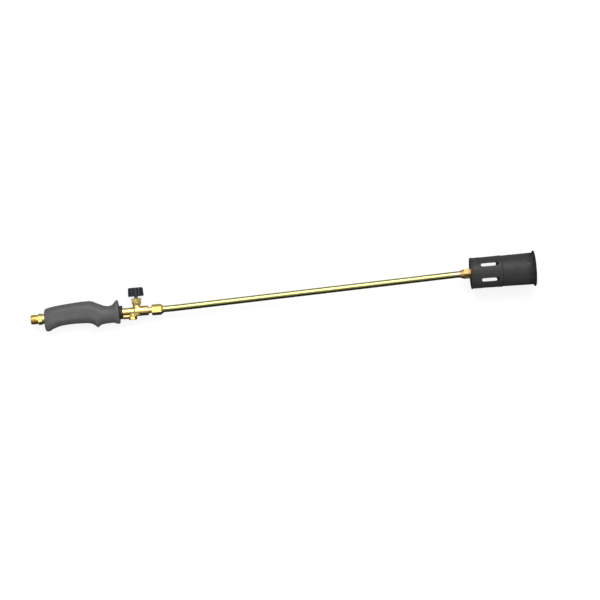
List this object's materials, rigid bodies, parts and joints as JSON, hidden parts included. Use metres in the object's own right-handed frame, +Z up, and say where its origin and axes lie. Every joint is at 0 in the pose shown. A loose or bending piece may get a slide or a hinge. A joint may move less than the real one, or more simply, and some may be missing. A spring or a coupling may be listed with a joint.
{
  "type": "propane torch",
  "caption": "Long roofing torch: moulded grip with a hose inlet, brass needle valve with a lobed knob, bent steel neck tube and a slotted flared burner bell.",
  "frame": {"origin": "on the floor under the middle of the torch's box, the torch lying on its side", "axes": "+X from the hose inlet towards the burner mouth, +Y the way the valve knob points, +Z up from the floor"},
  "size_m": [0.8608, 0.0694, 0.0608],
  "materials": {
    "brass": "machined and forged yellow brass, slightly dulled",
    "yellow_zinc": "yellow-passivated zinc on steel tube",
    "plain_steel": "plain steel",
    "zinc_steel": "bright zinc",
    "grip_plastic": "fine-textured dark grey moulding",
    "knob_plastic": "satin blue-black moulding",
    "ring_rubber": "matte black",
    "bell_paint": "satin black heat-resistant paint",
    "packing": "white packing ring",
    "copper": "soft copper"
  },
  "bodies": {
    "torch": {"inlet_connector": "brass", "rear_washer": "brass", "handle_tube": "plain_steel", "handle_grip": "grip_plastic", "front_ring": "ring_rubber", "valve_body": "brass", "plug_washer": "copper", "port_plug": "brass", "packing_ring": "packing", "gland_follower": "brass", "gland_nut": "brass", "union_nut": "brass", "tube_olive": "brass", "neck_tube": "yellow_zinc", "burner_nut": "brass", "jet_seal": "copper", "jet": "brass", "lock_washer": "zinc_steel", "bell_lock_nut": "brass", "bell_cup": "bell_paint", "bell_tube": "bell_paint"},
    "spindle": {"spindle": "zinc_steel"},
    "knob": {"knob": "knob_plastic", "knob_insert": "brass", "knob_washer": "zinc_steel", "knob_screw": "zinc_steel"}
  },
  "joints": [
    {"name": "spindle_lift", "type": "slide", "parent": "torch", "child": "spindle", "axis": [0, 1, 0], "range_m": [0, 0.00187]},
    {"name": "knob_turn", "type": "hinge", "parent": "spindle", "child": "knob", "pos_m": [-0.24933, 0.01733, 0.01737], "axis": [0, 1, 0], "range_deg": [0, 540]}
  ],
  "couplings": [
    {"joint": "knob_turn", "follows": "spindle_lift", "rad_per_m": 5026.5}
  ]
}
